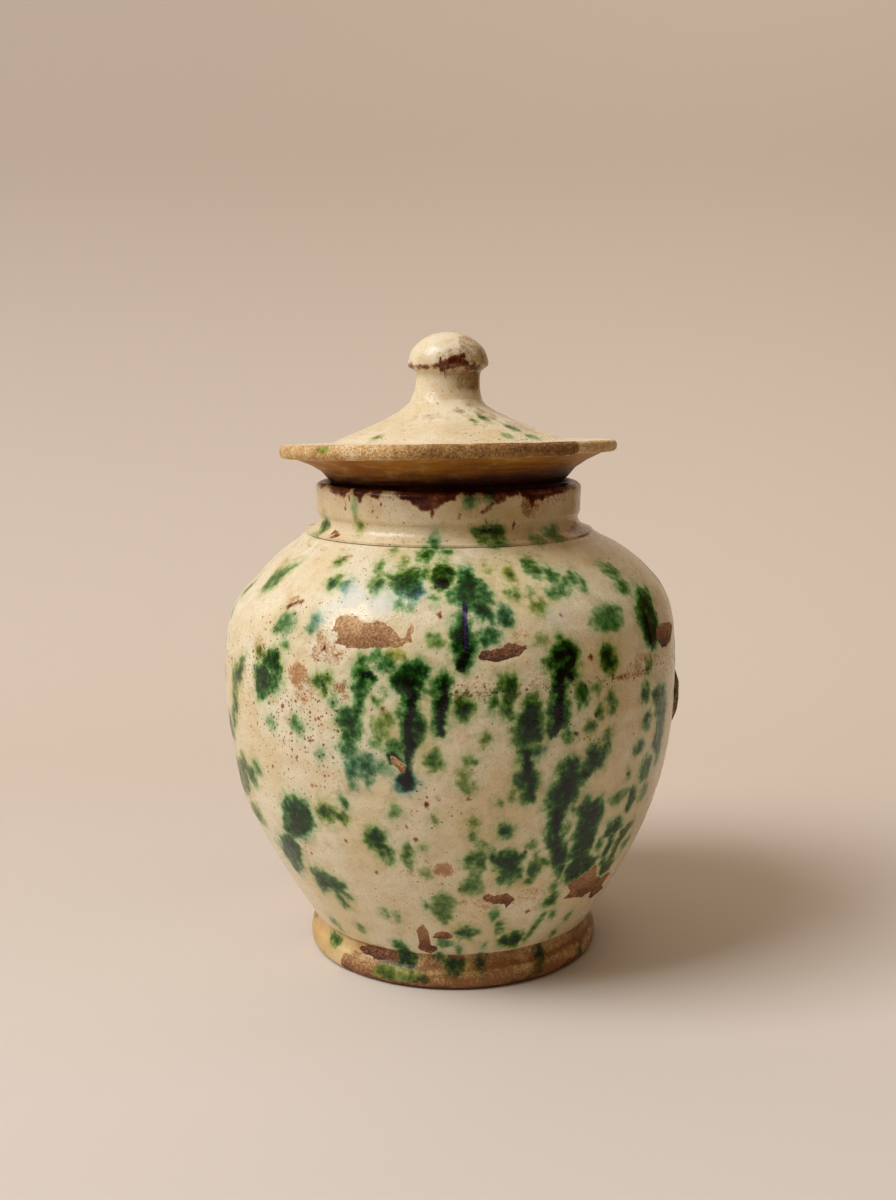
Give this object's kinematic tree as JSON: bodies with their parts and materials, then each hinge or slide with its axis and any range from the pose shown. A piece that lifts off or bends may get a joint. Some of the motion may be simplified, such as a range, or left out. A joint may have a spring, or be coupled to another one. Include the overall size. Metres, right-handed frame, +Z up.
{
  "type": "lidded pot",
  "caption": "Round-bellied glazed earthenware jar on a foot ring, with a collar neck and a lift-off lid that has a wide rim and a mushroom knob.",
  "frame": {"origin": "centre of the foot ring's resting face, on the jar's axis", "axes": "+Z up along the jar's axis, -Y towards the side that the picture shows, +X to the right in the picture"},
  "size_m": [0.1756, 0.1756, 0.2404],
  "materials": {
    "worn_foot_glaze": "worn amber glaze over bare red clay",
    "splashed_glaze": "satin clear glaze over cream slip with green splashes",
    "collar_glaze": "satin clear glaze over cream slip with brown runs",
    "lid_glaze": "satin clear glaze over cream slip",
    "amber_glaze": "satin amber glaze over red clay"
  },
  "bodies": {
    "jar": {"foot_ring": "worn_foot_glaze", "lower_body": "splashed_glaze", "upper_body": "splashed_glaze", "neck_collar": "collar_glaze"},
    "lid": {"lid_dish": "lid_glaze", "lid_spigot": "amber_glaze", "lid_knob": "lid_glaze"}
  },
  "joints": [
    {"name": "lid_lift", "type": "slide", "parent": "jar", "child": "lid", "axis": [0, 0, 1], "range_m": [0, 0.1]}
  ]
}
